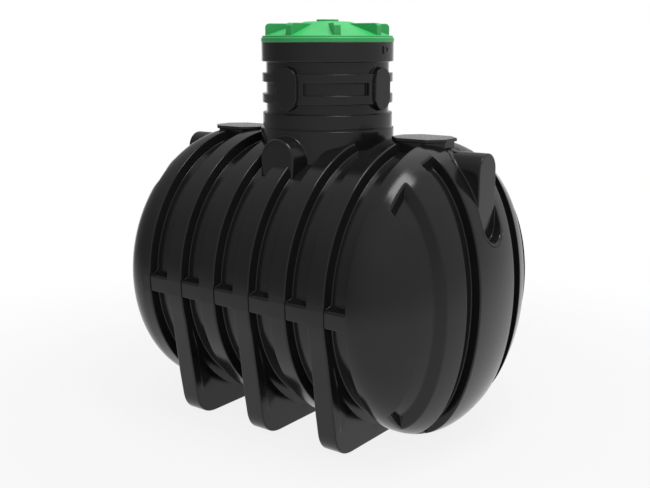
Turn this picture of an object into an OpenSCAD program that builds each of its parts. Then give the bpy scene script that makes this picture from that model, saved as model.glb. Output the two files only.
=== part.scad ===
// Underground septic tank: a ribbed barrel lying on three saddle feet, with domed ends,
// a round access riser on its neck and a lift-off lid.
// X runs along the barrel, Z is up, and the origin is on the floor below the riser's axis.

/* [Barrel] */
// Outer radius of the barrel's bands
barrel_r = 648; // [560:1:760]
// Wall thickness of the moulding
wall = 10; // [6:1:14]
// Distance from one groove to the next
groove_pitch = 198; // [180:1:230]
// Width of a groove
groove_w = 70; // [50:1:85]
// Depth of a groove
groove_d = 42; // [25:1:55]
// Height of the flush bridge across each groove at mid height
bridge_h = 76; // [40:1:120]
// How far the bridges' middle lies below the barrel's axis
bridge_drop = 18; // [0:1:40]

/* [Domed ends] */
// How far a dome reaches past the last groove
dome_l = 373; // [300:1:440]
// Length of the straight skirt between the last groove and a dome's curve
dome_skirt = 30; // [10:1:60]
// Distance from the tank's middle plane to the near edge of the inner dome grooves
inner_groove_y = 150; // [130:1:170]
// Width of the inner dome grooves
inner_groove_w = 88; // [70:1:110]
// Distance from the tank's middle plane to the near edge of the outer dome grooves
outer_groove_y = 352; // [340:1:400]
// Width of the outer dome grooves
outer_groove_w = 110; // [60:1:120]
// Depth of the dome grooves
dome_groove_d = 42; // [25:1:55]
// Length of dome left whole behind the grooves' end walls
dome_groove_start = 120; // [80:1:130]

/* [Feet] */
// Clearance between the belly and the floor
belly_gap = 4; // [2:1:30]
// Slope of a foot's outer faces, in degrees from the vertical
foot_slope = 9.8; // [5:0.1:12]
// Radius of a foot's bottom corners
foot_corner_r = 120; // [60:1:150]
// Height below the axis at which the feet leave the barrel
foot_top_drop = 55; // [40:1:90]

/* [Ports and pads] */
// Width of an end port
end_port_w = 145; // [110:1:160]
// Height of an end port's face
end_port_h = 373; // [300:1:400]
// How far an end port's top lies below the barrel's top
end_port_drop = 40; // [20:1:60]
// How far an end port's face lies behind the dome's outermost point
end_port_set = 74; // [50:1:85]
// Radius of a side port's arch at its face
side_port_r = 89; // [70:1:95]
// How far a side port's face stands out from the neck
side_port_out = 67; // [55:1:95]
// How far the top of a side port's arch lies below the barrel's top
side_port_drop = 2; // [-12:1:10]
// Draft of a side port's sides, in degrees
side_port_draft = 9; // [0:0.5:12]
// Length of a lifting pad along the barrel
pad_l = 272; // [220:1:280]
// Width of a lifting pad
pad_w = 220; // [160:1:240]
// How far a pad's middle lies inside the last groove's outer edge
pad_inset = 12; // [0:1:25]
// Height of a pad's top above the barrel
pad_rise = 10; // [6:1:20]
// Thickness of a pad's lip
pad_lip_t = 14; // [8:1:18]
// How far the lip stands out past the pad's body
pad_lip = 9; // [4:1:15]
// Length of a pad's cut corners
pad_chamfer = 62; // [30:1:80]

/* [Neck and riser] */
// Outer radius of the riser's wall
riser_r = 280; // [220:1:284]
// How far the tank's neck stands out past the riser's wall
neck_out = 25; // [20:1:35]
// Height of the neck above the barrel
neck_rise = 30; // [20:1:45]
// Height of the riser
riser_h = 379; // [365:1:420]
// How far the riser's bottom collar stands out past its wall
bottom_collar_out = 17; // [10:1:20]
// Height of the riser's bottom collar
bottom_collar_h = 68; // [40:1:75]
// How far the riser's rings stand out past its wall
ring_out = 18; // [10:1:22]
// Height of a riser ring
ring_h = 40; // [25:1:45]
// Gap between the bottom collar and the lower ring
lower_gap = 44; // [30:1:50]
// Gap between the upper ring and the top collar
upper_gap = 50; // [30:1:56]
// How far the riser's top collar stands out past its wall
top_collar_out = 20; // [12:1:24]
// Height of the riser's top collar
top_collar_h = 85; // [60:1:90]
// How far an oval port's face stands out past the riser's wall
oval_out = 26; // [24:1:32]
// Width of an oval port
oval_w = 115; // [90:1:125]
// How far an oval port reaches past the rings
oval_over = 27; // [15:1:29]
// Half angle covered by an oval port and its side blocks, in degrees
block_half_angle = 16; // [14:0.5:22]
// Width of the lock tab
tab_w = 30; // [15:1:40]
// Height of the lock tab
tab_h = 32; // [20:1:40]
// How far the lock tab stands out
tab_t = 6; // [3:1:10]
// Angle of the lock tab from the X axis, in degrees
tab_angle = 5.5; // [0:0.5:20]

/* [Lid] */
// Gap between the lid and the riser it rests on
seat_gap = 0.3; // [0.2:0.1:1]
// How far the lid stands out past the riser's top collar
lid_out = 1; // [0:1:5]
// Thickness of the lid's rim
rim_t = 28; // [18:1:35]
// Width of the lid's rim
rim_w = 46; // [40:1:60]
// Radius of the lid's flat hub
hub_r = 50; // [30:1:70]
// Thickness of the lid's hub
hub_t = 10; // [5:1:15]
// How far in from the lid's edge the cone starts
cone_inset = 15; // [8:1:25]
// Radius of the cone's flat top
cone_top_r = 105; // [80:1:130]
// Height of the cone above the rim
cone_h = 62; // [40:1:75]
// Thickness of the lid's cone
cone_t = 8; // [4:1:12]
// Number of ribs on the lid
rib_count = 8; // [4:1:12]
// Width of a rib
rib_w = 32; // [16:1:40]
// Height of the ribs above the rim
rib_h = 54; // [35:1:60]
// How far a rib's outer end lies in from the lid's edge
rib_inset = 19; // [12:1:30]
// Radius of a rib's outer top corner
rib_corner_r = 18; // [6:1:24]

/* [Hidden] */
$fn = 96;
axis_z = barrel_r + belly_gap;
groove_count = 6;
band_w = groove_pitch - groove_w;
floor_r = barrel_r - groove_d;
inner_r = floor_r - wall;
barrel_end = (groove_count - 1) / 2 * groove_pitch + groove_w / 2;
end_port_top = barrel_r - end_port_drop;
end_port_x = barrel_end + dome_l - end_port_set;
side_port_top = barrel_r - side_port_drop;
pad_x = barrel_end - pad_inset;
shaft_r = riser_r - wall;
neck_r = riser_r + neck_out;
side_port_y = neck_r + side_port_out;
bottom_collar_r = riser_r + bottom_collar_out;
ring_r = riser_r + ring_out;
top_collar_r = riser_r + top_collar_out;
oval_face = riser_r + oval_out;
lid_r = top_collar_r + lid_out;
rib_end = lid_r - rib_inset;
dome_groove_x = barrel_end + dome_groove_start;
neck_top = axis_z + barrel_r + neck_rise;
riser_top = neck_top + riser_h;
lower_ring_z = bottom_collar_h + lower_gap;
upper_ring_z = riser_h - top_collar_h - upper_gap - ring_h;
oval_z = neck_top + (lower_ring_z + upper_ring_z + ring_h) / 2;
oval_h = upper_ring_z + ring_h - lower_ring_z + 2 * oval_over;
rim_bottom = riser_top + seat_gap;
rim_top = rim_bottom + rim_t;
cone_foot_r = lid_r - cone_inset;
beyond = 2 * barrel_r;
over = 1;
pad_root = 120;
dome_steps = 18;
black = [0.14, 0.14, 0.15];
green = [0.35, 0.82, 0.45];

function groove_x(i) = (i - (groove_count + 1) / 2) * groove_pitch;
function band_x(i) = (groove_x(i) + groove_x(i + 1)) / 2;
function arc(r, cx, cy, a0, a1, n) =
    [for (i = [0 : n]) [cx + r * cos(a0 + (a1 - a0) * i / n), cy + r * sin(a0 + (a1 - a0) * i / n)]];

// Turns a solid of revolution about Z into one about the barrel's axis, along +X
module along_barrel() { translate([0, 0, axis_z]) rotate([0, 90, 0]) children(); }

// Ring about the barrel's axis, from x0 to x0 + w
module barrel_ring(x0, w, r_out, r_in) {
    translate([x0, 0, 0]) along_barrel() difference() {
        cylinder(r = r_out, h = w);
        translate([0, 0, -over]) cylinder(r = r_in, h = w + 2 * over);
    }
}

// Solid outline of the barrel, as far as the domes, with its grooves
module barrel_solid() {
    translate([-barrel_end, 0, 0]) along_barrel() cylinder(r = floor_r, h = 2 * barrel_end);
    for (i = [1 : groove_count - 1])
        translate([band_x(i) - band_w / 2, 0, 0]) along_barrel() cylinder(r = barrel_r, h = band_w);
}

// Half outline of the right-hand dome, inset by a depth, as [radius, x] points
function dome_outline(inset) = concat(
    [[0, barrel_end], [barrel_r - inset, barrel_end]],
    [for (a = [0 : 90 / dome_steps : 90])
        [(barrel_r - inset) * cos(a), barrel_end + dome_skirt + (dome_l - dome_skirt - inset) * sin(a)]]
);

// Solid right-hand dome, inset by a depth
module dome_solid(inset) { along_barrel() rotate_extrude() polygon(dome_outline(inset)); }

// Slabs of the four dome grooves, widened by a margin
module dome_groove_slabs(margin) {
    for (s = [-1, 1], g = [[inner_groove_y, inner_groove_w], [outer_groove_y, outer_groove_w]])
        translate([dome_groove_x - margin, s > 0 ? g[0] - margin : -g[0] - g[1] - margin, 0])
            cube([beyond, g[1] + 2 * margin, 2 * axis_z]);
}

// Dome with its grooves cut, inset by a depth all over
module grooved_dome(inset) {
    difference() {
        dome_solid(inset);
        difference() {
            dome_groove_slabs(inset);
            dome_solid(inset + dome_groove_d);
        }
    }
}

// Upright stadium bar along X from x0 to x1, for the end port, grown by a margin
module end_port_bar(x0, x1, margin) {
    r = end_port_w / 2 + margin;
    for (z = [end_port_top - end_port_w / 2, end_port_top - end_port_h + end_port_w / 2])
        translate([x0, 0, axis_z + z]) rotate([0, 90, 0]) cylinder(r = r, h = x1 - x0);
    translate([x0, -r, axis_z + end_port_top - end_port_h + end_port_w / 2])
        cube([x1 - x0, 2 * r, end_port_h - end_port_w]);
}

// Access shaft through the top of the barrel
module shaft() { translate([0, 0, axis_z]) cylinder(r = shaft_r, h = beyond); }

module band(i) {
    color(black) difference() {
        barrel_ring(band_x(i) - band_w / 2, band_w, barrel_r, inner_r);
        barrel_ring(band_x(i) - band_w / 2 + wall, band_w - 2 * wall, barrel_r - wall, inner_r - over);
        shaft();
    }
}

module groove(i) {
    color(black) difference() {
        barrel_ring(groove_x(i) - groove_w / 2, groove_w, floor_r, inner_r);
        shaft();
    }
}

// Flush bridges across the grooves on one side
module bridges(side) {
    color(black) for (i = [1 : groove_count]) intersection() {
        barrel_ring(groove_x(i) - groove_w / 2, groove_w, barrel_r, floor_r);
        translate([groove_x(i) - groove_w / 2, side > 0 ? 0 : -beyond, axis_z - bridge_drop - bridge_h / 2])
            cube([groove_w, beyond, bridge_h]);
    }
}

module right_dome() {
    difference() {
        grooved_dome(0);
        difference() {
            grooved_dome(wall);
            translate([barrel_end - beyond + wall, -beyond, -beyond]) cube([beyond, 2 * beyond, 4 * beyond]);
        }
        along_barrel() cylinder(r = inner_r, h = barrel_end + wall);
        end_port_bar(end_port_x, end_port_x + beyond, 0);
    }
}

module end_dome(side) { color(black) mirror([side < 0 ? 1 : 0, 0, 0]) right_dome(); }

// Boss of the end port above the dome, and the cup that it becomes lower down
module end_port(side) {
    color(black) mirror([side < 0 ? 1 : 0, 0, 0]) {
        difference() {
            end_port_bar(barrel_end, end_port_x, 0);
            dome_solid(0);
            pad_block(1);
        }
        difference() {
            intersection() {
                end_port_bar(end_port_x - wall, end_port_x + beyond, wall);
                grooved_dome(wall);
            }
            end_port_bar(end_port_x, end_port_x + 2 * beyond, 0);
        }
    }
}

// Outline of a foot below the barrel's axis, as [y, z] points
function foot_outline() =
    let (
        top_y = sqrt(pow(barrel_r, 2) - pow(foot_top_drop, 2)),
        bottom_y = top_y - (axis_z - foot_top_drop) * tan(foot_slope),
        turn = 90 - foot_slope,
        c_y = bottom_y - foot_corner_r * tan(turn / 2),
        corner = arc(foot_corner_r, c_y, foot_corner_r, -foot_slope, -90, 8),
        side = concat([[top_y, axis_z - foot_top_drop]], corner)
    )
    concat(side, [for (i = [len(side) - 1 : -1 : 0]) [-side[i][0], side[i][1]]]);

module foot(i) {
    color(black) difference() {
        translate([band_x(i) - band_w / 2, 0, 0]) rotate([90, 0, 90])
            linear_extrude(band_w) polygon(foot_outline());
        translate([band_x(i) - band_w, 0, 0]) along_barrel() cylinder(r = barrel_r, h = 2 * band_w);
    }
}

// Arched bar along -Y, growing by its draft from its face back to the riser's axis
module side_port_bar() {
    r_back = side_port_r + side_port_y * tan(side_port_draft);
    centre = axis_z + side_port_top - side_port_r;
    translate([0, 0, centre]) rotate([90, 0, 0]) cylinder(r1 = r_back, r2 = side_port_r, h = side_port_y);
    translate([0, 0, axis_z]) linear_extrude(centre - axis_z) polygon([
        [-side_port_r, -side_port_y], [side_port_r, -side_port_y], [r_back, 0], [-r_back, 0]
    ]);
}

module side_port(side) {
    color(black) rotate([0, 0, side > 0 ? 180 : 0]) difference() {
        side_port_bar();
        barrel_solid();
        translate([0, 0, axis_z]) cylinder(r = neck_r, h = beyond);
    }
}

// Octagonal block with cut corners
module octagon(l, w, c, z0, z1) {
    x = l / 2;
    y = w / 2;
    translate([0, 0, z0]) linear_extrude(z1 - z0) polygon([
        [x - c, y], [-x + c, y], [-x, y - c], [-x, -y + c],
        [-x + c, -y], [x - c, -y], [x, -y + c], [x, y - c]
    ]);
}

// Pad and its lip, with nothing cut away; the side is 1 for the right-hand pad
module pad_block(side) {
    top = axis_z + barrel_r + pad_rise;
    translate([side * pad_x, 0, 0]) {
        octagon(pad_l, pad_w, pad_chamfer, top - pad_lip_t, top);
        octagon(
            pad_l - 2 * pad_lip, pad_w - 2 * pad_lip, pad_chamfer,
            axis_z + floor_r - pad_root, top - pad_lip_t
        );
    }
}

module pad(side) {
    color(black) difference() {
        pad_block(side);
        barrel_solid();
        mirror([side < 0 ? 1 : 0, 0, 0]) dome_solid(0);
        translate([0, 0, axis_z]) cylinder(r = neck_r, h = beyond);
    }
}

module neck() {
    color(black) difference() {
        translate([0, 0, axis_z]) cylinder(r = neck_r, h = neck_top - axis_z);
        barrel_solid();
        shaft();
    }
}

// Tube about the riser's axis
module tube(z0, h, r_out, r_in) {
    translate([0, 0, z0]) difference() {
        cylinder(r = r_out, h = h);
        translate([0, 0, -over]) cylinder(r = r_in, h = h + 2 * over);
    }
}

module riser_wall() { color(black) tube(neck_top, riser_h, riser_r, shaft_r); }

module riser_bottom_collar() { color(black) tube(neck_top, bottom_collar_h, bottom_collar_r, riser_r); }

// Upright oval bar along -Y, out to a face
module oval_bar(face) {
    for (s = [-1, 1])
        translate([0, 0, oval_z + s * (oval_h - oval_w) / 2])
            rotate([90, 0, 0]) cylinder(r = oval_w / 2, h = face);
    translate([-oval_w / 2, -face, oval_z - (oval_h - oval_w) / 2]) cube([oval_w, face, oval_h - oval_w]);
}

module riser_ring(z) {
    color(black) difference() {
        tube(neck_top + z, ring_h, ring_r, riser_r);
        for (a = [0 : 90 : 270]) rotate([0, 0, a]) oval_bar(2 * ring_r);
    }
}

module riser_top_collar() {
    color(black) tube(riser_top - top_collar_h, top_collar_h, top_collar_r, riser_r);
}

module riser_port(a) {
    color(black) rotate([0, 0, a]) difference() {
        oval_bar(oval_face);
        translate([0, 0, neck_top]) cylinder(r = riser_r, h = riser_h);
    }
}

// Blocks that close the gap between the rings on both sides of each oval port
module riser_side_blocks() {
    gap_z = neck_top + lower_ring_z + ring_h;
    gap_h = upper_ring_z - lower_ring_z - ring_h;
    color(black) for (a = [0 : 90 : 270]) rotate([0, 0, a]) intersection() {
        difference() {
            tube(gap_z, gap_h, ring_r, riser_r);
            oval_bar(2 * ring_r);
        }
        translate([0, 0, gap_z]) linear_extrude(gap_h) polygon([
            [0, 0],
            [2 * ring_r * sin(-block_half_angle), -2 * ring_r * cos(block_half_angle)],
            [2 * ring_r * sin(block_half_angle), -2 * ring_r * cos(block_half_angle)]
        ]);
    }
}

module lock_tab() {
    color(black) rotate([0, 0, tab_angle]) intersection() {
        tube(riser_top - top_collar_h / 2 - tab_h / 2, tab_h, top_collar_r + tab_t, top_collar_r, $fn = 720);
        translate([0, -tab_w / 2, neck_top]) cube([2 * top_collar_r, tab_w, riser_h]);
    }
}

module lid_rim() { color(green) tube(rim_bottom, rim_t, lid_r, lid_r - rim_w); }

// Solid cone of the lid, from the rim up to its flat top, lowered by a depth
module cone_solid(depth) {
    translate([0, 0, rim_top - depth]) cylinder(r1 = cone_foot_r, r2 = cone_top_r, h = cone_h);
}

module lid_cone() {
    color(green) difference() {
        union() {
            cone_solid(0);
            translate([0, 0, rim_top - cone_t]) cylinder(r = lid_r - rim_w, h = cone_t);
        }
        cone_solid(cone_t);
        translate([0, 0, rim_bottom]) cylinder(r = lid_r - rim_w - cone_t, h = rim_t);
    }
}

module lid_hub() { color(green) translate([0, 0, rim_top + cone_h]) cylinder(r = hub_r, h = hub_t); }

module lid_ribs() {
    color(green) for (i = [0 : rib_count - 1]) rotate([0, 0, i * 360 / rib_count]) difference() {
        translate([0, rib_w / 2, rim_top]) rotate([90, 0, 0]) linear_extrude(rib_w) polygon(concat(
            [[cone_top_r, 0], [rib_end, 0]],
            arc(rib_corner_r, rib_end - rib_corner_r, rib_h - rib_corner_r, 0, 90, 5),
            [[cone_top_r, rib_h]]
        ));
        cone_solid(0);
    }
}

band(1);  // band_1
band(2);  // band_2
band(3);  // band_3
band(4);  // band_4
band(5);  // band_5
groove(1);  // groove_1
groove(2);  // groove_2
groove(3);  // groove_3
groove(4);  // groove_4
groove(5);  // groove_5
groove(6);  // groove_6
bridges(-1);  // bridges_front
bridges(1);  // bridges_back
end_dome(-1);  // end_dome_left
end_dome(1);  // end_dome_right
foot(1);  // foot_1
foot(3);  // foot_2
foot(5);  // foot_3
end_port(-1);  // end_port_left
end_port(1);  // end_port_right
side_port(-1);  // side_port_front
side_port(1);  // side_port_back
pad(-1);  // pad_left
pad(1);  // pad_right
neck();
riser_wall();
riser_bottom_collar();
riser_ring(lower_ring_z);  // riser_lower_ring
riser_ring(upper_ring_z);  // riser_upper_ring
riser_top_collar();
riser_port(0);  // riser_port_front
riser_port(90);  // riser_port_right
riser_port(180);  // riser_port_back
riser_port(270);  // riser_port_left
riser_side_blocks();
lock_tab();
lid_rim();
lid_cone();
lid_hub();
lid_ribs();
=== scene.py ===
"""Looks of the underground septic tank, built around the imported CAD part."""

import bpy
import numpy as np
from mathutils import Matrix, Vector


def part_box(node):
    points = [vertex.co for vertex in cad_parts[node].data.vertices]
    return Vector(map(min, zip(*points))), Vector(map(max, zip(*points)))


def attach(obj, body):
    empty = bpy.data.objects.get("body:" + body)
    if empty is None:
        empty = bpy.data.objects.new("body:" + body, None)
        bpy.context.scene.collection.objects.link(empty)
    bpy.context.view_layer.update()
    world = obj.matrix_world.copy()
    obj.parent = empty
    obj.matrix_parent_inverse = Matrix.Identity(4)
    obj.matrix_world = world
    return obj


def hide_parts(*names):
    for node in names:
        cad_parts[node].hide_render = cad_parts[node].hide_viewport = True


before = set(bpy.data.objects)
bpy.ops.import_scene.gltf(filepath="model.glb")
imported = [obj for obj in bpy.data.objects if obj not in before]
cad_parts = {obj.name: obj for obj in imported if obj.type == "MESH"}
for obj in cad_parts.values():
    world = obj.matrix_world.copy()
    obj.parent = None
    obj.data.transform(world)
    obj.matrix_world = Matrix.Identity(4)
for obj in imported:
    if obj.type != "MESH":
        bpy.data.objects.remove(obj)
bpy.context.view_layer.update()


# ---------------------------------------------------------------- sizes, in millimetres
def node_box(node):
    lo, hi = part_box(node)
    return np.array(lo) * 1000, np.array(hi) * 1000


BANDS = [1, 2, 3, 4, 5]
FOOT_BANDS = (1, 3, 5)
band_boxes = {i: node_box(f"band_{i}") for i in BANDS}
R = (band_boxes[2][1][1] - band_boxes[2][0][1]) / 2
AXIS_Z = band_boxes[2][0][2] + R
FLOOR_R = (node_box("groove_3")[1][1] - node_box("groove_3")[0][1]) / 2
END_X = node_box("groove_6")[1][0]
DOME_L = node_box("end_dome_right")[1][0] - END_X
NECK_R = node_box("neck")[1][0]
NECK_TOP = node_box("neck")[1][2]
WALL_R = node_box("riser_wall")[1][0]
RISER_TOP = node_box("riser_wall")[1][2]
BOTTOM_COLLAR = node_box("riser_bottom_collar")[1]
TOP_COLLAR_LO, TOP_COLLAR = node_box("riser_top_collar")
LOWER_RING = node_box("riser_lower_ring")
UPPER_RING = node_box("riser_upper_ring")
BRIDGE = node_box("bridges_front")
SIDE_Y = -node_box("side_port_front")[0][1]
PAD = node_box("pad_right")
OVAL = node_box("riser_port_front")
LOCK_TAB = node_box("lock_tab")
RIM = node_box("lid_rim")
CONE = node_box("lid_cone")
HUB = node_box("lid_hub")
RIBS = node_box("lid_ribs")

# barrel: rounding radii, the bridges' drop below the bands, the walls' draft, and how far the left edges
# of bands and feet stand back from the CAD
EDGE = 7
BAND_EDGE = 9
CREASE = 6
BRIDGE_DROP = 4
BRIDGE_R = R - BRIDGE_DROP
DRAFT = 10
SET_BACK = 42
FOOT_SET_BACK = 32
BACK_DRAFT = 3

# feet: where they leave the barrel below its axis, the lean of their sides, their corners' radius, and the
# strip along their front edge, which fades out above the floor
FOOT_TOP = 55
FOOT_LEAN = np.radians(9.8)
FOOT_CORNER = 120
FOOT_BLEND = 80
STRIP_W = 46
STRIP_EDGE = 5
STRIP_LOW = 90
STRIP_FADE = 25

# domes: x past the barrel's end where their own mesh begins, and their grooves, by distance from the middle
DOME_START = 44
DOME_BACK = 36
SKIRT = 40
SKIRT_TILT = 28
INNER_GROOVE = (150, 238)
OUTER_GROOVE = (352, 462)
INNER_SHIFT_BACK = 15
OUTER_LEAN_FRONT = 14
DOME_GROOVE_LEAN = 2
DOME_GROOVE_D = 42
DOME_GROOVE_X = 120

# end ports
PORT_X = END_X + 299
PORT_W = 145
PORT_TOP = AXIS_Z + 608
PORT_H = 373
PORT_REACH = 14
HOLE_HALF_W = 110
HOLE_LOW = 190
HOLE_TOP_ROWS = 7
HOLE_RINGS = 6

# side ports
SIDE_R = 89
SIDE_TOP = AXIS_Z + 646
SIDE_FOOT = AXIS_Z + 440
SIDE_DRAFT = np.tan(np.radians(9))
SIDE_REACH = 14

# pads
PAD_CUT = 62
PAD_INNER_CUT = 51.47
PAD_RIM = 30
PAD_LIP = 9
PAD_LIP_T = 14
PAD_CORNER = 5

# riser
SHAFT_R = WALL_R - 10
RISER_LOW = AXIS_Z + 500
SEAM_D = 4
SEAM_LO = NECK_TOP + 4
SEAM_HI = NECK_TOP + 7
RING_R = LOWER_RING[1][0]
RING_OUT = 18
BLOCK_HALF_ANGLE = 16
OVAL_W = 115
TAB_ANGLE = np.radians(4.2)
TAB_HALF_W = 19
TAB_RISE = 10
TAB_T = 6

# lid
LID_R = RIM[1][0]
LID_SEAT = 46
LID_T = 8
CONE_FOOT = LID_R - 15
CONE_TOP_R = 105
HUB_R = 50
RIB_START = 95
RIB_END = LID_R - 19
RIB_ROUND = 18
RIB_HALF_W = 16
RIB_NARROW = 2.5


# ---------------------------------------------------------------- mesh helpers
def share(value, span):
    """How much of the span the value covers, from 0 to 1."""
    return np.clip(value / span, 0, 1)


def bezier(p, q, s, n):
    t = np.linspace(0, 1, n + 1)[:, None]
    return (1 - t) ** 2 * p + 2 * t * (1 - t) * q + t**2 * s


def rounded(points, radii, n=4):
    """The polyline with its inner corners rounded; each corner with a radius gives n + 1 points."""
    pts = np.array(points, float)
    out = [pts[:1]]
    for i in range(1, len(pts) - 1):
        q, r = pts[i], radii[i - 1]
        if r is None:
            out.append(q[None])
            continue
        a, b = pts[i - 1] - q, pts[i + 1] - q
        la, lb = np.linalg.norm(a), np.linalg.norm(b)
        d = min(r, 0.499 * la, 0.499 * lb)
        a = a / la if la else a
        b = b / lb if lb else b
        out.append(bezier(q + a * d, q, q + b * d, n))
    out.append(pts[-1:])
    return np.vstack(out)


def quads(rows, cols, close_rows=False, close_cols=False, offset=0, skip=None):
    """Faces of a grid whose vertices are stored row by row."""
    faces = []
    for i in range(rows if close_rows else rows - 1):
        for j in range(cols if close_cols else cols - 1):
            if skip and skip(i, j):
                continue
            i2, j2 = (i + 1) % rows, (j + 1) % cols
            corners = (i * cols + j, i * cols + j2, i2 * cols + j2, i2 * cols + j)
            faces.append(tuple(offset + k for k in corners))
    return faces


def flipped(faces):
    return [f[::-1] for f in faces]


def weld(verts, faces):
    """Merges equal vertices and drops faces without area."""
    keys, index = np.unique(np.round(verts / 2e-3).astype(np.int64), axis=0, return_inverse=True)
    index = index.reshape(-1)
    merged = np.zeros((len(keys), 3))
    merged[index] = verts
    clean = []
    for f in faces:
        g = []
        for k in f:
            m = int(index[k])
            if not g or (g[-1] != m and m != g[0]):
                g.append(m)
        clean.append(tuple(g) if len(set(g)) == len(g) and len(g) > 2 else None)
    return merged, clean


def face_normals(verts, faces):
    """Area-weighted normals at the vertices."""
    normals = np.zeros_like(verts)
    for f in faces:
        p = verts[list(f)]
        if len(f) > 4:
            n = np.zeros(3)
            for k in range(1, len(f) - 1):
                n += np.cross(p[k] - p[0], p[k + 1] - p[0])
        elif len(f) == 4:
            n = np.cross(p[2] - p[0], p[3] - p[1])
        else:
            n = np.cross(p[1] - p[0], p[2] - p[0])
        for k in f:
            normals[k] += n
    length = np.linalg.norm(normals, axis=1, keepdims=True)
    length[length == 0] = 1
    return normals / length


def build(verts, groups, exact=None):
    """Makes one object per group of faces; the groups share vertices, so their shading meets without a seam.
    A group has faces and the nodes it replaces, and may have a body and a material. exact(verts, normals)
    may correct the normals."""
    names, faces, owner = list(groups), [], []
    for name in names:
        faces += groups[name]["faces"]
        owner += [name] * len(groups[name]["faces"])
    verts, clean = weld(np.asarray(verts, float), faces)
    normals = face_normals(verts, [f for f in clean if f])
    if exact:
        normals = exact(verts, normals)
    for name in names:
        mine = [f for f, o in zip(clean, owner) if f and o == name]
        used = sorted({k for f in mine for k in f})
        place = {k: i for i, k in enumerate(used)}
        mesh = bpy.data.meshes.new(name)
        mesh.from_pydata((verts[used] / 1000).tolist(), [], [[place[k] for k in f] for f in mine])
        mesh.polygons.foreach_set("use_smooth", [True] * len(mesh.polygons))
        mesh.normals_split_custom_set_from_vertices(normals[used].tolist())
        obj = bpy.data.objects.new(name, mesh)
        bpy.context.scene.collection.objects.link(obj)
        group = groups[name]
        obj.data.materials.append(group.get("material", BLACK))
        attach(obj, group.get("body", "tank"))
        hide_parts(*group["nodes"])


def lathe(profile, turns=160):
    """Surface of revolution about the riser's axis of an (r, z) profile."""
    a = np.linspace(0, 2 * np.pi, turns, endpoint=False)
    p = np.asarray(profile)
    x, y = np.outer(np.cos(a), p[:, 0]), np.outer(np.sin(a), p[:, 0])
    z = np.outer(np.ones(turns), p[:, 1])
    return np.stack([x, y, z], axis=-1).reshape(-1, 3), quads(turns, len(p), close_rows=True)


# ---------------------------------------------------------------- materials
class Nodes:
    """Short hand for the nodes of one tree."""

    def __init__(self, tree):
        self.tree = tree

    def put(self, socket, value):
        if isinstance(value, bpy.types.NodeSocket):
            self.tree.links.new(value, socket)
        else:
            socket.default_value = value

    def math(self, operation, a, b=0.0):
        node = self.tree.nodes.new("ShaderNodeMath")
        node.operation = operation
        self.put(node.inputs[0], a)
        self.put(node.inputs[1], b)
        return node.outputs[0]

    def along(self, vector, way):
        """Share of a vector that points one way."""
        node = self.tree.nodes.new("ShaderNodeVectorMath")
        node.operation = "DOT_PRODUCT"
        self.put(node.inputs[0], vector)
        node.inputs[1].default_value = way
        return node.outputs["Value"]

    def step(self, value, lo, hi, start=0.0, end=1.0, shape="SMOOTHSTEP"):
        """From start to end while the value runs from lo to hi."""
        node = self.tree.nodes.new("ShaderNodeMapRange")
        node.interpolation_type = shape
        for name, number in (("From Min", lo), ("From Max", hi), ("To Min", start), ("To Max", end)):
            self.put(node.inputs[name], number)
        self.put(node.inputs["Value"], value)
        return node.outputs["Result"]

    def blend(self, factor, a, b):
        return self.math("ADD", a, self.math("MULTIPLY", factor, self.math("SUBTRACT", b, a)))

    def noise(self, scale, detail):
        node = self.tree.nodes.new("ShaderNodeTexNoise")
        node.inputs["Scale"].default_value = scale
        node.inputs["Detail"].default_value = detail
        coords = self.tree.nodes.new("ShaderNodeTexCoord")
        self.put(node.inputs["Vector"], coords.outputs["Object"])
        return node.outputs["Fac"]


def plastic(name, dark, light, roughness, ior, grain, bump, painted_top_light=1.0):
    """Moulded plastic: slight colour clouds, uneven gloss and a faint orange peel.
    Faces that look up are painted lighter by the last factor, as painted light from overhead; it is not the
    plastic's own colour."""
    mat = bpy.data.materials.new(name)
    mat.use_nodes = True
    nt = mat.node_tree
    nodes = Nodes(nt)
    bsdf = nt.nodes["Principled BSDF"]
    bsdf.inputs["IOR"].default_value = ior

    ramp = nt.nodes.new("ShaderNodeValToRGB")
    for element, place, colour in zip(ramp.color_ramp.elements, (0.3, 0.7), (dark, light)):
        element.position = place
        element.color = (*colour, 1)
    nodes.put(ramp.inputs["Fac"], nodes.noise(5.0, 4.0))
    # painted light: the colour is scaled lighter on faces that look up, standing in for light falling from
    # above
    upward = nodes.along(nt.nodes.new("ShaderNodeNewGeometry").outputs["Normal"], (0, 0, 1))
    top_lit_colour = nt.nodes.new("ShaderNodeVectorMath")
    top_lit_colour.operation = "SCALE"
    nodes.put(top_lit_colour.inputs[0], ramp.outputs["Color"])
    nodes.put(top_lit_colour.inputs["Scale"], nodes.step(upward, 0.1, 0.8, 1.0, painted_top_light, "LINEAR"))
    nodes.put(bsdf.inputs["Base Color"], top_lit_colour.outputs["Vector"])

    gloss = nodes.step(nodes.noise(9.0, 5.0), 0.3, 0.7, *roughness, "LINEAR")
    nodes.put(bsdf.inputs["Roughness"], gloss)

    relief = nt.nodes.new("ShaderNodeBump")
    relief.inputs["Strength"].default_value = bump
    relief.inputs["Distance"].default_value = 0.0005
    nodes.put(relief.inputs["Height"], nodes.noise(grain, 2.0))
    nodes.put(bsdf.inputs["Normal"], relief.outputs["Normal"])
    return mat


BLACK = plastic(
    "black_polyethylene",
    (0.0092, 0.0092, 0.0098),
    (0.0118, 0.0118, 0.0125),
    roughness=(0.12, 0.17),
    ior=1.40,
    grain=420,
    bump=0.25,
)
GREEN = plastic(
    "green_polyethylene",
    (0.026, 0.32, 0.085),
    (0.034, 0.36, 0.100),
    roughness=(0.30, 0.40),
    ior=1.45,
    grain=500,
    bump=0.35,
    # painted light: the lid's upward faces are painted up to 1.75 times lighter, as if lit from above
    painted_top_light=1.75,
)


# ---------------------------------------------------------------- barrel: bands, grooves, bridges and feet
def band_edges(i):
    return band_boxes[i][0][0], band_boxes[i][1][0]


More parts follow.
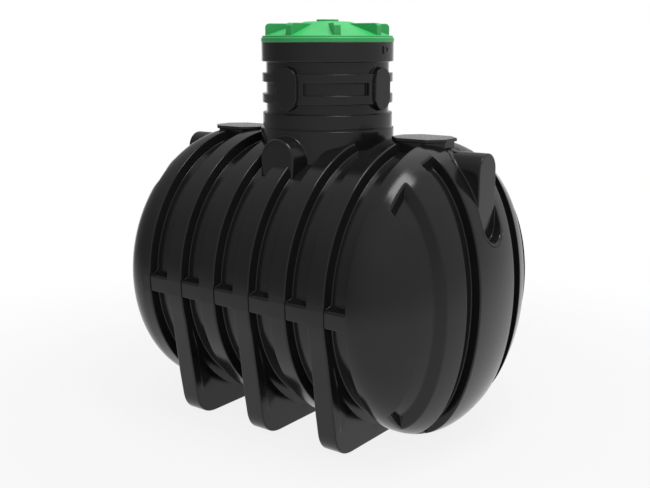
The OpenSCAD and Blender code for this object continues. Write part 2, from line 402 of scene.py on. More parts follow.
def foot_outline():
    """Half outline of a foot, from where it leaves the barrel to the floor, as (y, z) from the axis."""
    top_z = -FOOT_TOP
    top_y = np.sqrt(R**2 - top_z**2)
    floor_z = -AXIS_Z
    bottom_y = top_y - (top_z - floor_z) * np.tan(FOOT_LEAN)
    setback = FOOT_CORNER * np.tan((np.pi / 2 - FOOT_LEAN) / 2)
    return rounded([(top_y, top_z), (bottom_y, floor_z), (0, floor_z)], [setback], 12)


FOOT_LINE = foot_outline()


def foot_reach(angle):
    """Distance from the barrel's axis to the foot's outline along a downward direction."""
    d = np.array([abs(np.cos(angle)), np.sin(angle)])
    for p, q in zip(FOOT_LINE[:-1], FOOT_LINE[1:]):
        e = q - p
        det = d[0] * -e[1] + e[0] * d[1]
        if abs(det) < 1e-12:
            continue
        t = (p[0] * -e[1] + e[0] * p[1]) / det
        u = (d[0] * p[1] - d[1] * p[0]) / det
        if -1e-9 <= u <= 1 + 1e-9 and t > 0:
            return t
    return 0.0


def bridge_rows():
    """(angle, groove floor's radius) over the front bridge, whose upper end slopes into the groove."""
    a_lo, a_hi = (np.arcsin((z - AXIS_Z) / R) * R for z in (BRIDGE[0][2], BRIDGE[1][2]))
    line = rounded(
        [
            (a_lo - 12, FLOOR_R),
            (a_lo, FLOOR_R),
            (a_lo, BRIDGE_R),
            (a_hi - 2, BRIDGE_R),
            (a_hi + 16, FLOOR_R),
            (a_hi + 34, FLOOR_R),
        ],
        [4, 5, 9, 12],
    )
    return [(a / R, r) for a, r in line]


def barrel_rows():
    """(angle, groove floor's radius) all round the barrel; angle 0 is the front, 90 degrees the top."""
    front = bridge_rows()
    low, high = front[0][0], front[-1][0]
    step, half = np.radians(2), np.pi / 2
    up = np.linspace(high, half, int((half - high) / step) + 1)[1:]
    down = np.linspace(low, -half, int((low + half) / step) + 1)[1:]
    corners = [np.arctan2(z, y) for y, z in FOOT_LINE[1:-1]]
    down = sorted(list(down) + corners, reverse=True)
    keep = [down[0]]
    for a in down[1:]:
        if keep[-1] - a > np.radians(0.4):
            keep.append(a)
    if abs(keep[-1] + half) > 1e-6:
        keep.append(-half)
    down = np.array(keep)
    rows = list(front)
    rows += [(a, FLOOR_R) for a in up]
    rows += [(np.pi - a, FLOOR_R) for a in up[::-1][1:]]
    rows += [(np.pi - a, r) for a, r in front[::-1]]
    rows += [(np.pi - a, FLOOR_R) for a in down]
    rows += [(2 * np.pi + a, FLOOR_R) for a in down[::-1][1:]]
    return rows


def skirt(sine):
    """Length of a dome's straight skirt in a direction from its axis; the dome is fuller below than above."""
    return SKIRT - SKIRT_TILT * sine


def dome_r(x, sine):
    """Radius of the dome at x past the barrel's end."""
    e = skirt(sine)
    return R * np.sqrt(1 - (np.maximum(0, x - e) / (DOME_L - e)) ** 2)


def dome_x(y, z, inset=0):
    """How far the dome stands out past the barrel's end at (y, z) from the barrel's axis."""
    rho = np.hypot(y, z)
    e = skirt(z / np.maximum(rho, 1e-9))
    return e + (DOME_L - e - inset) * np.sqrt(np.clip(1 - (rho / (R - inset)) ** 2, 0, 1))


def dome_level(p):
    """Zero on the right dome's surface; the points are (x past the barrel's end, y, z from the axis)."""
    rho = np.hypot(p[:, 1], p[:, 2])
    e = skirt(p[:, 2] / np.maximum(rho, 1e-9))
    return (np.maximum(0, p[:, 0] - e) / (DOME_L - e)) ** 2 + (rho / R) ** 2 - 1


def dome_normals(verts, normals):
    """Exact normals for the vertices that lie on a dome, so that its reflections run smoothly."""
    side = np.sign(verts[:, :1]) * [1, 0, 0] + [0, 1, 1]
    p = (verts - [0, 0, AXIS_Z]) * side - [END_X, 0, 0]
    slope = np.stack([dome_level(p + d) - dome_level(p - d) for d in np.eye(3) * 0.01], axis=1) * side
    slope /= np.maximum(np.linalg.norm(slope, axis=1, keepdims=True), 1e-12)
    on = (p[:, 0] > DOME_START - 1) & (abs(dome_level(p)) < 1e-4)
    on &= np.einsum("ij,ij->i", slope, normals) > 0.985
    return np.where(on[:, None], slope, normals)


def groove_profile(edge_x, edge_r, sine, floor, back):
    """(x, radius) points and their roundings from below a band's right edge to the groove floor's right end.
    A foot's wall stays upright down to the barrel, with a shallow strip along the foot's front edge."""
    filled = (floor - FLOOR_R) / (BRIDGE_R - FLOOR_R)
    start = edge_x + DRAFT * (1 - filled)
    footed = share(edge_r - R, FOOT_BLEND)
    step = share(AXIS_Z + edge_r * sine - STRIP_LOW, STRIP_FADE)
    strip = (
        (1.5 * step, edge_r - STRIP_W),
        (-2.5 * step, edge_r - STRIP_W - STRIP_EDGE),
        (0, BRIDGE_R),
    )
    pts, radii = [], []
    for t, spot in zip((0.4, 0.5, 0.7), strip):
        plain = np.array([edge_x + (start - edge_x) * t, edge_r + (floor - edge_r) * t])
        pts.append(tuple(plain * (1 - footed) + (np.array(spot) + [edge_x, 0]) * footed))
        radii.append(1.5)
    pts.append((start, floor))
    radii.append(CREASE * 0.7)
    end, end_r = back - BACK_DRAFT, floor + BRIDGE_DROP * filled
    for t in np.linspace(0, 1, 8)[1:-1]:
        pts.append((start + (end - start) * t, floor + (end_r - floor) * t))
        radii.append(None)
    pts.append((end, end_r))
    radii.append(CREASE)
    return pts, radii


def barrel_profile(angle, floor):
    """(x, radius) of the barrel in one direction from its axis, from the left dome to the right one."""
    sine = np.sin(angle)
    foot = foot_reach(angle) if sine < 0 else 0.0
    pts = [(-END_X - x, dome_r(x, sine)) for x in (DOME_START, 36, 28, 20, 12)] + [(-END_X, R)]
    radii = [None] * 4 + [BAND_EDGE]
    for i in BANDS:
        x0, x1 = band_edges(i)
        reach = max(R, foot) if i in FOOT_BANDS else R
        back = x0 + SET_BACK - (SET_BACK - FOOT_SET_BACK) * share(reach - R, FOOT_BLEND)
        groove, groove_radii = groove_profile(*pts[-1], sine, floor, back)
        wider = 6 * share(reach - R, 50)
        pts += groove + [(x, reach) for x in np.linspace(back, x1, 8)]
        radii += groove_radii + [EDGE + wider] + [None] * 6 + [BAND_EDGE + wider]
    back = END_X + DOME_BACK
    groove, groove_radii = groove_profile(*pts[-1], sine, floor, back)
    pts += groove + [(back, dome_r(DOME_BACK, sine)), (END_X + DOME_START, dome_r(DOME_START, sine))]
    radii += groove_radii + [EDGE]
    return rounded(pts, radii)


def owner_at(x):
    """The band or groove at a place along the barrel."""
    passed = sum(band_edges(i)[0] - 0.01 <= x for i in BANDS)
    if passed and x <= band_edges(passed)[1] + 0.01:
        return f"band_{passed}"
    return f"groove_{passed + 1}"


def make_barrel():
    """The barrel and its feet in one grid, cut into bands, grooves and bridges, with a hole for the riser."""
    rows = barrel_rows()
    verts = []
    for angle, floor in rows:
        line = barrel_profile(angle, floor)
        y, z = -np.cos(angle), np.sin(angle)
        verts.append(np.column_stack([line[:, 0], line[:, 1] * y, AXIS_Z + line[:, 1] * z]))
    verts = np.array(verts)
    n_rows, n_cols = verts.shape[:2]
    owners = [owner_at((verts[0, j, 0] + verts[0, j + 1, 0]) / 2) for j in range(n_cols - 1)]
    feet = {i: [f"foot_{k + 1}"] for k, i in enumerate(FOOT_BANDS)}
    pieces = {f"band_{i}": [f"band_{i}"] + feet.get(i, []) for i in BANDS}
    pieces.update({f"groove_{i}": [f"groove_{i}"] for i in range(1, len(BANDS) + 2)})
    pieces.update({name: [name] for name in ("bridges_front", "bridges_back")})
    groups = {f"{name}_skin": {"faces": [], "nodes": nodes} for name, nodes in pieces.items()}
    radial = np.hypot(verts[:, :, 0], verts[:, :, 1])
    inside = (radial < NECK_R - 3) & (verts[:, :, 2] > AXIS_Z)
    floors = np.array([f for _, f in rows])
    for i in range(n_rows):
        i2 = (i + 1) % n_rows
        raised = floors[i] > FLOOR_R + 1 or floors[i2] > FLOOR_R + 1
        bridge = "bridges_front" if verts[i, 0, 1] < 0 else "bridges_back"
        for j in range(n_cols - 1):
            if inside[i, j] and inside[i, j + 1] and inside[i2, j] and inside[i2, j + 1]:
                continue
            owner = bridge if raised and owners[j].startswith("groove") else owners[j]
            face = (i * n_cols + j, i * n_cols + j + 1, i2 * n_cols + j + 1, i2 * n_cols + j)
            groups[f"{owner}_skin"]["faces"].append(face)
    build(verts.reshape(-1, 3), groups, dome_normals)


# ---------------------------------------------------------------- domes and end ports
def dome_columns(shift, lean):
    """(distance from the middle plane, inset) across half the dome.
    shift moves the inner groove outwards, and lean is the draft of the outer groove's inner wall."""
    half, radii = [(0, 0)], []
    for y in (11, 22, 33, 44, 55, 66, 77, 88, 99, 110, 125, 138):
        half.append((y, 0))
        radii.append(None)
    inner = (INNER_GROOVE[0] + shift, INNER_GROOVE[1] + shift)
    for (lo, hi), draft, after in ((inner, DOME_GROOVE_LEAN, OUTER_GROOVE[0]), (OUTER_GROOVE, lean, 0)):
        floor_end = hi - DOME_GROOVE_LEAN
        half += [(lo, 0), (lo + draft, DOME_GROOVE_D)]
        radii += [EDGE, CREASE]
        half += [(y, DOME_GROOVE_D) for y in np.linspace(lo + draft, floor_end, 6)[1:-1]]
        radii += [None] * 4
        half += [(floor_end, DOME_GROOVE_D), (hi, 0)]
        radii += [CREASE, 4]
        if after:
            half += [(y, 0) for y in np.linspace(hi, after, 9)[1:-1]]
            radii += [None] * 7
    rim = dome_r(DOME_START, 0)
    for a in np.linspace(np.arcsin(hi / R), np.arcsin(rim / R), 16)[1:]:
        half.append((R * np.sin(a), 0))
        radii.append(None)
    return rounded(half, radii[:-1])


def height_at(x, y, way, inset=0):
    """Height, measured up or down from the axis, at which the dome's section at y comes down to x."""
    lo, hi = 0.0, np.sqrt(max(0.0, (R - inset) ** 2 - y**2))
    if dome_x(y, 0.0, inset) <= x:
        return 0.0
    for _ in range(40):
        mid = (lo + hi) / 2
        lo, hi = (mid, hi) if dome_x(y, way * mid, inset) > x else (lo, mid)
    return lo


def dome_curve(y, inset, way):
    """Upper or lower half of the dome's section at y, from mid height, as (x, z) from its end and axis.
    A groove ends in a wall, and the other columns keep as many points, so that they join in a grid."""
    end = height_at(DOME_START, y, way)
    wall_top, wall_foot = height_at(DOME_GROOVE_X, y, way), height_at(DOME_GROOVE_X, y, way, inset)
    if wall_top < 0.35 * end:
        wall_top = wall_foot = 0.35 * end
    z_last = wall_foot - min(CREASE, 0.3 * wall_foot)
    z_in = z_last * np.sin(np.linspace(0, np.pi / 2, 44))
    z_in = 0.5 * z_in + 0.5 * np.linspace(0, z_last, 44)
    inner = np.column_stack([dome_x(y, way * z_in, inset), z_in])
    foot = np.array([dome_x(y, way * wall_foot, inset), wall_foot])
    corner = np.array([dome_x(y, way * wall_top), wall_top])
    height = np.linalg.norm(corner - foot)
    up = (corner - foot) / height if height > 1e-6 else np.zeros(2)
    low = bezier(inner[-1], foot, foot + up * min(CREASE, height / 2), 4)
    first = wall_top + min(8, 0.3 * (end - wall_top))
    z_out = first + (end - first) * np.sin(np.linspace(0, np.pi / 2, 10))
    outer = np.column_stack([dome_x(y, way * z_out), z_out])
    high = bezier(corner - up * min(8, height / 2), corner, outer[0], 4)
    skirt_x = np.linspace(outer[-1][0], DOME_START, 4)[1:]
    tail = np.column_stack([skirt_x, np.full(3, outer[-1][1])])
    full = np.vstack([inner, low[1:], high[:-1], outer, tail])
    return full * [1, way]


def port_spot(y, z):
    """Nearest point of the end port's middle line, and the direction away from it."""
    r = PORT_W / 2
    hi, lo = PORT_TOP - AXIS_Z - r, PORT_TOP - AXIS_Z - PORT_H + r
    c = np.array([0.0, np.clip(z, lo, hi)])
    d = np.array([y, z]) - c
    return c, d / np.linalg.norm(d)


def port_line(c, d):
    """Points from the dome over the end port's rim to its flat face, one way from its middle line."""

    def on_dome(offset):
        return dome_x(*(c + d * (PORT_W / 2 + offset)))

    face_x = PORT_X - END_X
    line = rounded(
        [(PORT_REACH, on_dome(PORT_REACH)), (0, on_dome(0)), (0, face_x), (-20, face_x)],
        [9, 6],
        5,
    )
    pts = [c + d * (PORT_W / 2 + o) for o, _ in line]
    return [np.array([END_X + x, p[0], AXIS_Z + p[1]]) for p, (_, x) in zip(pts, line)]


def make_dome(side):
    """A dome as a grid of upright sections, with rings of faces from a hole in it to the end port."""
    front, back = dome_columns(0, OUTER_LEAN_FRONT), dome_columns(INNER_SHIFT_BACK, DOME_GROOVE_LEAN)
    columns = np.vstack([front[1:][::-1] * [-1, 1], back])
    grid = []
    for y, inset in columns:
        full = np.vstack([dome_curve(y, inset, -1)[1:][::-1], dome_curve(y, inset, 1)])
        grid.append(np.column_stack([END_X + full[:, 0], np.full(len(full), y), AXIS_Z + full[:, 1]]))
    grid = np.array(grid)
    n_cols, n_rows = grid.shape[:2]
    c0, c1 = (int(np.argmin(abs(columns[:, 0] - y))) for y in (-HOLE_HALF_W, HOLE_HALF_W))
    r0 = int(np.argmax(grid[(c0 + c1) // 2][:, 2] - AXIS_Z > HOLE_LOW))
    r1 = n_rows - HOLE_TOP_ROWS
    verts = list(grid.reshape(-1, 3))
    faces = quads(n_cols, n_rows, skip=lambda i, j: c0 <= i < c1 and r0 <= j < r1)

    loop = [(i, r0) for i in range(c0, c1)] + [(c1, j) for j in range(r0, r1)]
    loop += [(i, r1) for i in range(c1, c0, -1)] + [(c0, j) for j in range(r1, r0, -1)]
    spots = [port_spot(grid[i, j][1], grid[i, j][2] - AXIS_Z) for i, j in loop]
    n = len(loop)
    inner = [i * n_rows + j for i, j in loop]
    for s in range(1, HOLE_RINGS + 1):
        outer, inner = inner, []
        for (i, j), (c, d) in zip(loop, spots):
            a = grid[i, j][1:] - [0, AXIS_Z]
            b = c + d * (PORT_W / 2 + PORT_REACH)
            y, z = a + (b - a) * s / HOLE_RINGS
            inner.append(len(verts))
            verts.append(np.array([END_X + dome_x(y, z), y, AXIS_Z + z]))
        faces += [(outer[k], inner[k], inner[(k + 1) % n], outer[(k + 1) % n]) for k in range(n)]

    lines = [port_line(c, d) for c, d in spots]
    m, base = len(lines[0]), len(verts)
    for line in lines:
        verts += line
    port_faces = []
    for k in range(n):
        a, b = base + k * m, base + (k + 1) % n * m
        port_faces += [(a + j, b + j, b + j + 1, a + j + 1) for j in range(m - 1)]
    port_faces.append(tuple(base + k * m + m - 1 for k in range(n)))

    verts = np.array(verts)
    name = "right" if side > 0 else "left"
    if side < 0:
        verts = verts * [-1, 1, 1]
        faces, port_faces = flipped(faces), flipped(port_faces)
    groups = {
        f"end_dome_{name}_skin": {"faces": faces, "nodes": [f"end_dome_{name}"]},
        f"end_port_{name}_skin": {"faces": port_faces, "nodes": [f"end_port_{name}"]},
    }
    build(verts, groups, dome_normals)


# ---------------------------------------------------------------- side ports and pads
def make_side_port(side):
    """Arched port beside the riser: a flat face with drafted sides that flow into the neck."""
    centre = SIDE_TOP - SIDE_R
    outline = [(SIDE_R, z, 1.0, 0.0) for z in np.linspace(SIDE_FOOT, centre, 10)[:-1]]
    for a in np.linspace(0, np.pi, 37):
        outline.append((SIDE_R * np.cos(a), centre + SIDE_R * np.sin(a), np.cos(a), np.sin(a)))
    outline += [(-SIDE_R, z, -1.0, 0.0) for z in np.linspace(centre, SIDE_FOOT, 10)[1:]]

    def neck_depth(x):
        return SIDE_Y - np.sqrt(NECK_R**2 - x**2)

    verts, n = [], len(outline)
    for x, z, nx, nz in outline:
        depth = neck_depth(x)
        for _ in range(4):
            depth = neck_depth(x + nx * depth * SIDE_DRAFT)
        off = depth * SIDE_DRAFT
        reach = off + SIDE_REACH
        line = rounded([(-30, 0), (0, 0), (off, depth), (reach, neck_depth(x + nx * reach))], [13, 9], 5)
        for o, d in line:
            verts.append((x + nx * o, -(SIDE_Y - d), z + nz * o))
    m = len(verts) // n
    faces = flipped(quads(n, m))
    faces.append(tuple(k * m for k in range(n))[::-1])
    verts = np.array(verts)
    if side > 0:
        verts = verts * [-1, -1, 1]
    name = "front" if side < 0 else "back"
    build(verts, {f"side_port_{name}_skin": {"faces": faces, "nodes": [f"side_port_{name}"]}})


def octagon_ring(l, w, c):
    """Outline of an l by w rectangle with corners cut by c, its own corners slightly rounded."""
    x, y = l / 2, w / 2
    pts = [(x - c, y), (c - x, y), (-x, y - c), (-x, c - y), (c - x, -y), (x - c, -y), (x, c - y), (x, y - c)]
    out = []
    for k in range(8):
        p, q, s = (np.array(pts[(k + d) % 8], float) for d in (-1, 0, 1))
        a, b = (p - q) / np.linalg.norm(p - q), (s - q) / np.linalg.norm(s - q)
        out.append(bezier(q + a * PAD_CORNER, q, q + b * PAD_CORNER, 3))
    return np.vstack(out)


def make_pad(side):
    """Octagonal pad with a flat top over a wider lip."""
    lo, hi = PAD
    cx = (lo[0] + hi[0]) / 2
    l, w, top = hi[0] - lo[0], hi[1] - lo[1], hi[2]
    profile = rounded(
        [
            (-PAD_LIP, AXIS_Z + FLOOR_R - 60),
            (-PAD_LIP, top - PAD_LIP_T),
            (0, top - PAD_LIP_T),
            (0, top),
            (-PAD_RIM, top),
        ],
        [3, 3, 4],
    )
    outer = octagon_ring(l, w, PAD_CUT)
    inner = octagon_ring(l - 2 * PAD_RIM, w - 2 * PAD_RIM, PAD_INNER_CUT)
    verts = []
    for off, z in profile:
        ring = outer + (inner - outer) * -off / PAD_RIM
        verts += [(side * (cx + x), y, z) for x, y in ring]
    n, m = len(outer), len(profile)
    faces = quads(m, n, close_cols=True)
    faces.append(tuple((m - 1) * n + k for k in range(n)))
    if side < 0:
        faces = flipped(faces)
    name = "right" if side > 0 else "left"
    build(np.array(verts), {f"pad_{name}_skin": {"faces": faces, "nodes": [f"pad_{name}"]}})


# ---------------------------------------------------------------- neck and riser
def make_riser():
    """The neck and the riser with its two collars, which share a seam."""
    collar_r, collar_z = BOTTOM_COLLAR[0], BOTTOM_COLLAR[2]
    top_r, top_z = TOP_COLLAR[0], TOP_COLLAR_LO[2]
    seam_r = collar_r - SEAM_D
    neck = rounded([(NECK_R, RISER_LOW), (NECK_R, NECK_TOP), (seam_r, NECK_TOP), (seam_r, SEAM_LO)], [5, 1])
    wall = rounded(
        [
            (seam_r, SEAM_LO),
            (seam_r, SEAM_HI),
            (collar_r, SEAM_HI),
            (collar_r, collar_z),
            (WALL_R, collar_z),
            (WALL_R, top_z),
            (top_r, top_z),
            (top_r, RISER_TOP),
            (SHAFT_R, RISER_TOP),
            (SHAFT_R, RISER_LOW),
        ],
        [1, 2, 5, 3, 3, 5, 5, 3],
    )
    neck_verts, neck_faces = lathe(neck)
    wall_verts, wall_faces = lathe(wall)
    wall_faces = [tuple(k + len(neck_verts) for k in f) for f in wall_faces]
    wall_nodes = ["riser_wall", "riser_bottom_collar", "riser_top_collar"]
    groups = {
        "neck_skin": {"faces": neck_faces, "nodes": ["neck"]},
        "riser_skin": {"faces": wall_faces, "nodes": wall_nodes},
    }
    build(np.vstack([neck_verts, wall_verts]), groups)


def make_ring_frame():
    """The two rings with the blocks beside the oval ports, as one raised frame with four recesses."""
    z0, z1 = LOWER_RING[0][2], LOWER_RING[1][2]
    z2, z3 = UPPER_RING[0][2], UPPER_RING[1][2]
    out = RING_OUT
    rows = rounded(
        [(z0, -1), (z0, out), (z1, out), (z1, 0), (z2, 0), (z2, out), (z3, out), (z3, -1)],
        [4, 4, 3, 3, 4, 4],
    )
    half = BLOCK_HALF_ANGLE
    arc = np.radians(1) * RING_R
    cols = []
    for base in (0, 90, 180, 270):
        line = rounded(
            [(base * arc, out), ((base + half) * arc, out), ((base + half) * arc, 0)]
            + [((base + half + d) * arc, 0) for d in np.linspace(0, 90 - 2 * half, 21)[1:-1]]
            + [((base + 90 - half) * arc, 0), ((base + 90 - half) * arc, out), ((base + 90) * arc, out)],
            [4, 3] + [None] * 19 + [3, 4],
        )
        head = [((base + d) * arc, out) for d in (0, 4, 8, 12)]
        tail = [((base + 90 - d) * arc, out) for d in (12, 8, 4)]
        cols += head + [tuple(p) for p in line[1:-1]] + tail
    verts = []
    for a, d in cols:
        phi = a / RING_R
        for z, e in rows:
            r = WALL_R + (max(e, d) if z1 - 6 < z < z2 + 6 else e)
            verts.append((r * np.cos(phi), r * np.sin(phi), z))
    faces = quads(len(cols), len(rows), close_rows=True)
    nodes = ["riser_lower_ring", "riser_upper_ring", "riser_side_blocks"]
    build(np.array(verts), {"riser_ring_frame": {"faces": faces, "nodes": nodes}})


def make_oval(name, turn):
    """Oval port, modelled at the front and turned into its place."""
    lo, hi = OVAL
    face, cz, h = -lo[1], (lo[2] + hi[2]) / 2, hi[2] - lo[2]
    r = OVAL_W / 2
    outline = []
    for s, a0 in ((1, 0), (-1, np.pi)):
        for a in np.linspace(a0, a0 + np.pi, 25):
            outline.append((r * np.cos(a), cz + s * (h / 2 - r) + r * np.sin(a), np.cos(a), np.sin(a)))

    def wall_depth(x):
        return face - np.sqrt(WALL_R**2 - x**2)

    verts = []
    for x, z, nx, nz in outline:
        line = rounded(
            [(-14, 0), (0, 0), (1.5, wall_depth(x + nx * 1.5)), (9, wall_depth(x + nx * 9))],
            [4, 5],
        )
        for o, d in line:
            verts.append((x + nx * o, -(face - d), z + nz * o))
    n = len(outline)
    m = len(verts) // n
    faces = flipped(quads(n, m, close_rows=True))
    faces.append(tuple(k * m for k in range(n))[::-1])
    c, s = np.cos(turn), np.sin(turn)
    verts = np.array(verts) @ np.array([[c, s, 0], [-s, c, 0], [0, 0, 1]])
    build(verts, {f"riser_port_{name}_skin": {"faces": faces, "nodes": [f"riser_port_{name}"]}})


def make_lock_tab():
    """Small D-shaped tab on the top collar, hollow inside its rim."""
    lo, hi = LOCK_TAB
    r0, w, t = TOP_COLLAR[0], TAB_HALF_W, TAB_T
    cz, half = (lo[2] + hi[2]) / 2 + TAB_RISE, (hi[2] - lo[2]) / 2
    outline = [(-w, cz - half), (-w, cz + half)]
    for a in np.linspace(np.pi / 2, -np.pi / 2, 13):
        outline.append((w - half + half * np.cos(a), cz + half * np.sin(a)))
    centre = np.array([0.0, cz])
    verts = []
    for p in np.array(outline):
        d = (p - centre) / np.linalg.norm(p - centre)
        for off, out in rounded([(2, -1), (0, 0), (0, t), (-6, t), (-6, 2), (-12, 2)], [1, 2, 2, 1]):
            q = p + d * off
            phi = TAB_ANGLE + q[0] / r0
            verts.append(((r0 + out) * np.cos(phi), (r0 + out) * np.sin(phi), q[1]))
    n = len(outline)
    m = len(verts) // n
    faces = quads(n, m, close_rows=True)
    faces.append(tuple(k * m + m - 1 for k in range(n))[::-1])
    build(np.array(verts), {"lock_tab_skin": {"faces": faces, "nodes": ["lock_tab"]}})


# ---------------------------------------------------------------- lid
def make_lid_shell():
    """Rim, cone and hub of the lid as one thin shell."""
    rim_lo, rim_hi = RIM[0][2], RIM[1][2]
    cone_hi, hub_hi = CONE[1][2], HUB[1][2]
    seat_r, rim_r = LID_R - LID_SEAT, LID_R - 5
    outer = rounded(
        [
            (seat_r, rim_lo),
            (LID_R, rim_lo),
            (LID_R, rim_hi - 10),
            (rim_r, rim_hi - 8),
            (rim_r, rim_hi),
            (CONE_FOOT, rim_hi),
            (CONE_TOP_R, cone_hi),
            (HUB_R, cone_hi),
            (HUB_R, hub_hi),
            (2, hub_hi),
        ],
        [3, 2, 2, 3, 3, 8, 3, 4],
    )
    under = rounded(
        [
            (2, cone_hi - LID_T),
            (CONE_TOP_R - 2, cone_hi - LID_T),
            (CONE_FOOT - 4, rim_hi - LID_T),
            (seat_r, rim_hi - LID_T),
            (seat_r, rim_lo),
        ],
        [6, 3, 3],
    )
    verts, faces = lathe(np.vstack([under, outer[1:]]))
    p = len(under) + len(outer) - 1
    turns = len(verts) // p
    faces.append(tuple(k * p for k in range(turns)))
    faces.append(tuple(k * p + p - 1 for k in range(turns))[::-1])
    nodes = ["lid_rim", "lid_cone", "lid_hub"]
    build(verts, {"lid_shell": {"faces": faces, "nodes": nodes, "body": "lid", "material": GREEN}})


def make_lid_ribs():
    """Eight upright ribs, each rounded down at its outer end."""
    top, rim_hi = RIBS[1][2], RIM[1][2]
    foot = rim_hi - 9
    stations = [(RIB_START, top, 0), (RIB_END - RIB_ROUND, top, 0)]
    for a in np.linspace(0, np.pi / 2, 7)[1:]:
        x, z = RIB_END - RIB_ROUND + RIB_ROUND * np.sin(a), top - RIB_ROUND + RIB_ROUND * np.cos(a)
        stations.append((x, z, RIB_NARROW * (1 - np.cos(a)) ** 2))
    stations.append((RIB_END, rim_hi - 6, RIB_NARROW))
    rib = []
    for x, t, narrow in stations:
        w = RIB_HALF_W - narrow
        section = rounded([(-w - 1, foot), (-w, t), (w, t), (w + 1, foot)], [4, 4])
        rib.append([(x, y, max(z, foot)) for y, z in section])
    verts, faces = [], []
    for k in range(8):
        c, s = np.cos(k * np.pi / 4), np.sin(k * np.pi / 4)
        faces += quads(len(rib), len(rib[0]), offset=len(verts))
        verts += [(x * c - y * s, x * s + y * c, z) for section in rib for x, y, z in section]
    group = {"faces": faces, "nodes": ["lid_ribs"], "body": "lid", "material": GREEN}
    build(np.array(verts), {"lid_ribs_skin": group})


make_barrel()
for side in (-1, 1):
    make_dome(side)
    make_side_port(side)
    make_pad(side)
make_riser()
make_ring_frame()
for k, name in enumerate(("front", "right", "back", "left")):
    make_oval(name, k * np.pi / 2)
make_lock_tab()
make_lid_shell()
make_lid_ribs()


# ---------------------------------------------------------------- floor, light and camera, in metres
IMAGE_W = 650
FOCAL_PX = 940.9
VIEW_TURN, VIEW_PITCH = np.radians(36.706), np.radians(12.125)
VIEW_DISTANCE, VIEW_HEIGHT = 4.3686, 1.7101
SENSOR = 36
FLOOR_HALF = 4.0
FLOOR_Z = -0.0005
FLOOR_WHITE = 0.85
FLOOR_FADE = (1.3, 3.2)


def floor_material():
    """White for the camera and in reflections, with a share of its true shading so that the shadow stays.
    It fades out towards its edge."""
    mat = bpy.data.materials.new("pale_floor")
    mat.use_nodes = True
    nt = mat.node_tree
    nodes = Nodes(nt)
    bsdf = nt.nodes["Principled BSDF"]
    bsdf.inputs["Base Color"].default_value = (0.75, 0.75, 0.75, 1)
    bsdf.inputs["Roughness"].default_value = 0.9
    bsdf.inputs["Specular IOR Level"].default_value = 0.0
    white = nt.nodes.new("ShaderNodeEmission")
    clear = nt.nodes.new("ShaderNodeBsdfTransparent")
    path = nt.nodes.new("ShaderNodeLightPath")
    seen = nodes.math("MAXIMUM", path.outputs["Is Camera Ray"], path.outputs["Is Glossy Ray"])
    seen = nodes.math("MAXIMUM", seen, path.outputs["Is Transmission Ray"])
    length = nt.nodes.new("ShaderNodeVectorMath")
    length.operation = "LENGTH"
    nodes.put(length.inputs[0], nt.nodes.new("ShaderNodeTexCoord").outputs["Object"])
    paint, edge = nt.nodes.new("ShaderNodeMixShader"), nt.nodes.new("ShaderNodeMixShader")
    nodes.put(paint.inputs["Fac"], nodes.math("MULTIPLY", seen, FLOOR_WHITE))
    nodes.put(paint.inputs[1], bsdf.outputs["BSDF"])
    nodes.put(paint.inputs[2], white.outputs["Emission"])
    nodes.put(edge.inputs["Fac"], nodes.step(length.outputs["Value"], *FLOOR_FADE))
    nodes.put(edge.inputs[1], paint.outputs["Shader"])
    nodes.put(edge.inputs[2], clear.outputs["BSDF"])
    nodes.put(nt.nodes["Material Output"].inputs["Surface"], edge.outputs["Shader"])
    return mat


def make_floor():
    mesh = bpy.data.meshes.new("floor")
    s, z = FLOOR_HALF, FLOOR_Z
    mesh.from_pydata([(-s, -s, z), (s, -s, z), (s, s, z), (-s, s, z)], [], [(0, 1, 2, 3)])
    mesh.materials.append(floor_material())
    obj = bpy.data.objects.new("floor", mesh)
    bpy.context.scene.collection.objects.link(obj)


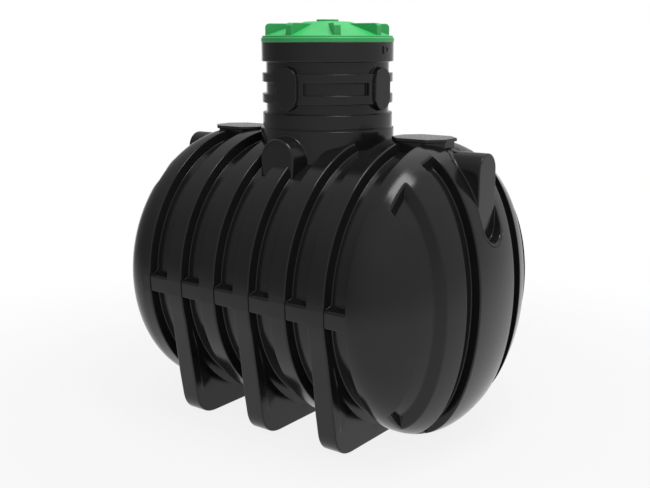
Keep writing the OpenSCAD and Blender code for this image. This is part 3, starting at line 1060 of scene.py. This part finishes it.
def make_world():
    """A studio that is white behind the tank, mid grey around the camera and darker to its left, with pale
    ground and a bright panel overhead."""
    world = bpy.data.worlds.new("studio")
    world.use_nodes = True
    nt = world.node_tree
    nodes = Nodes(nt)
    way = nt.nodes.new("ShaderNodeTexCoord").outputs["Generated"]
    height = nodes.along(way, (0, 0, 1))
    turn = np.radians(10)
    to_right = nodes.along(way, (np.cos(turn), np.sin(turn), 0))
    left = nodes.math("MULTIPLY", nodes.math("SUBTRACT", 1.0, to_right), 0.5)
    right = nodes.math("SUBTRACT", 1.0, nodes.math("MULTIPLY", left, left))
    walls = nodes.math("ADD", nodes.math("MULTIPLY", right, 0.45), 0.20)
    sky = nodes.math("ADD", walls, nodes.step(height, 0.3, 0.85, 0.0, 0.12))
    ground = nodes.math("ADD", nodes.math("MULTIPLY", right, 0.33), 0.62)
    room = nodes.blend(nodes.step(height, -0.35, 0.0, 1.0, 0.0), sky, ground)
    ahead = (
        -np.sin(VIEW_TURN) * np.cos(VIEW_PITCH),
        np.cos(VIEW_TURN) * np.cos(VIEW_PITCH),
        -np.sin(VIEW_PITCH),
    )
    backdrop = nodes.step(nodes.along(way, ahead), 0.86, 0.914)
    backdrop = nodes.math("MULTIPLY", backdrop, nodes.step(height, 0.046, 0.075, 1.0, 0.0))
    panel = nodes.step(nodes.along(way, (-0.09, 0.52, 0.85)), 0.90, 0.97, 0.0, 0.6)
    light = nodes.math("ADD", nodes.blend(backdrop, room, 1.0), panel)
    nodes.put(nt.nodes["Background"].inputs["Color"], light)
    nt.nodes["Background"].inputs["Strength"].default_value = 1.0
    bpy.context.scene.world = world


def softbox(name, place, aim, size, watts):
    lamp = bpy.data.lights.new(name, "AREA")
    lamp.shape = "RECTANGLE"
    lamp.size, lamp.size_y = size
    lamp.energy = watts
    obj = bpy.data.objects.new(name, lamp)
    obj.location = place
    direction = Vector(aim) - Vector(place)
    obj.rotation_euler = direction.to_track_quat("-Z", "Y").to_euler()
    bpy.context.scene.collection.objects.link(obj)


def make_camera():
    cam = bpy.data.cameras.new("camera")
    cam.sensor_width = SENSOR
    cam.lens = FOCAL_PX / IMAGE_W * SENSOR
    cam.shift_x = -2.55 / IMAGE_W
    cam.clip_end = 100
    obj = bpy.data.objects.new("camera", cam)
    obj.location = (VIEW_DISTANCE * np.sin(VIEW_TURN), -VIEW_DISTANCE * np.cos(VIEW_TURN), VIEW_HEIGHT)
    obj.rotation_euler = (np.pi / 2 - VIEW_PITCH, 0, VIEW_TURN)
    bpy.context.scene.collection.objects.link(obj)
    bpy.context.scene.camera = obj


make_floor()
make_world()
softbox("key_light", place=(1.15, -0.40, 4.0), aim=(0.6, -0.4, 1.1), size=(1.3, 1.2), watts=38)
make_camera()
bpy.context.scene.view_settings.view_transform = "Standard"
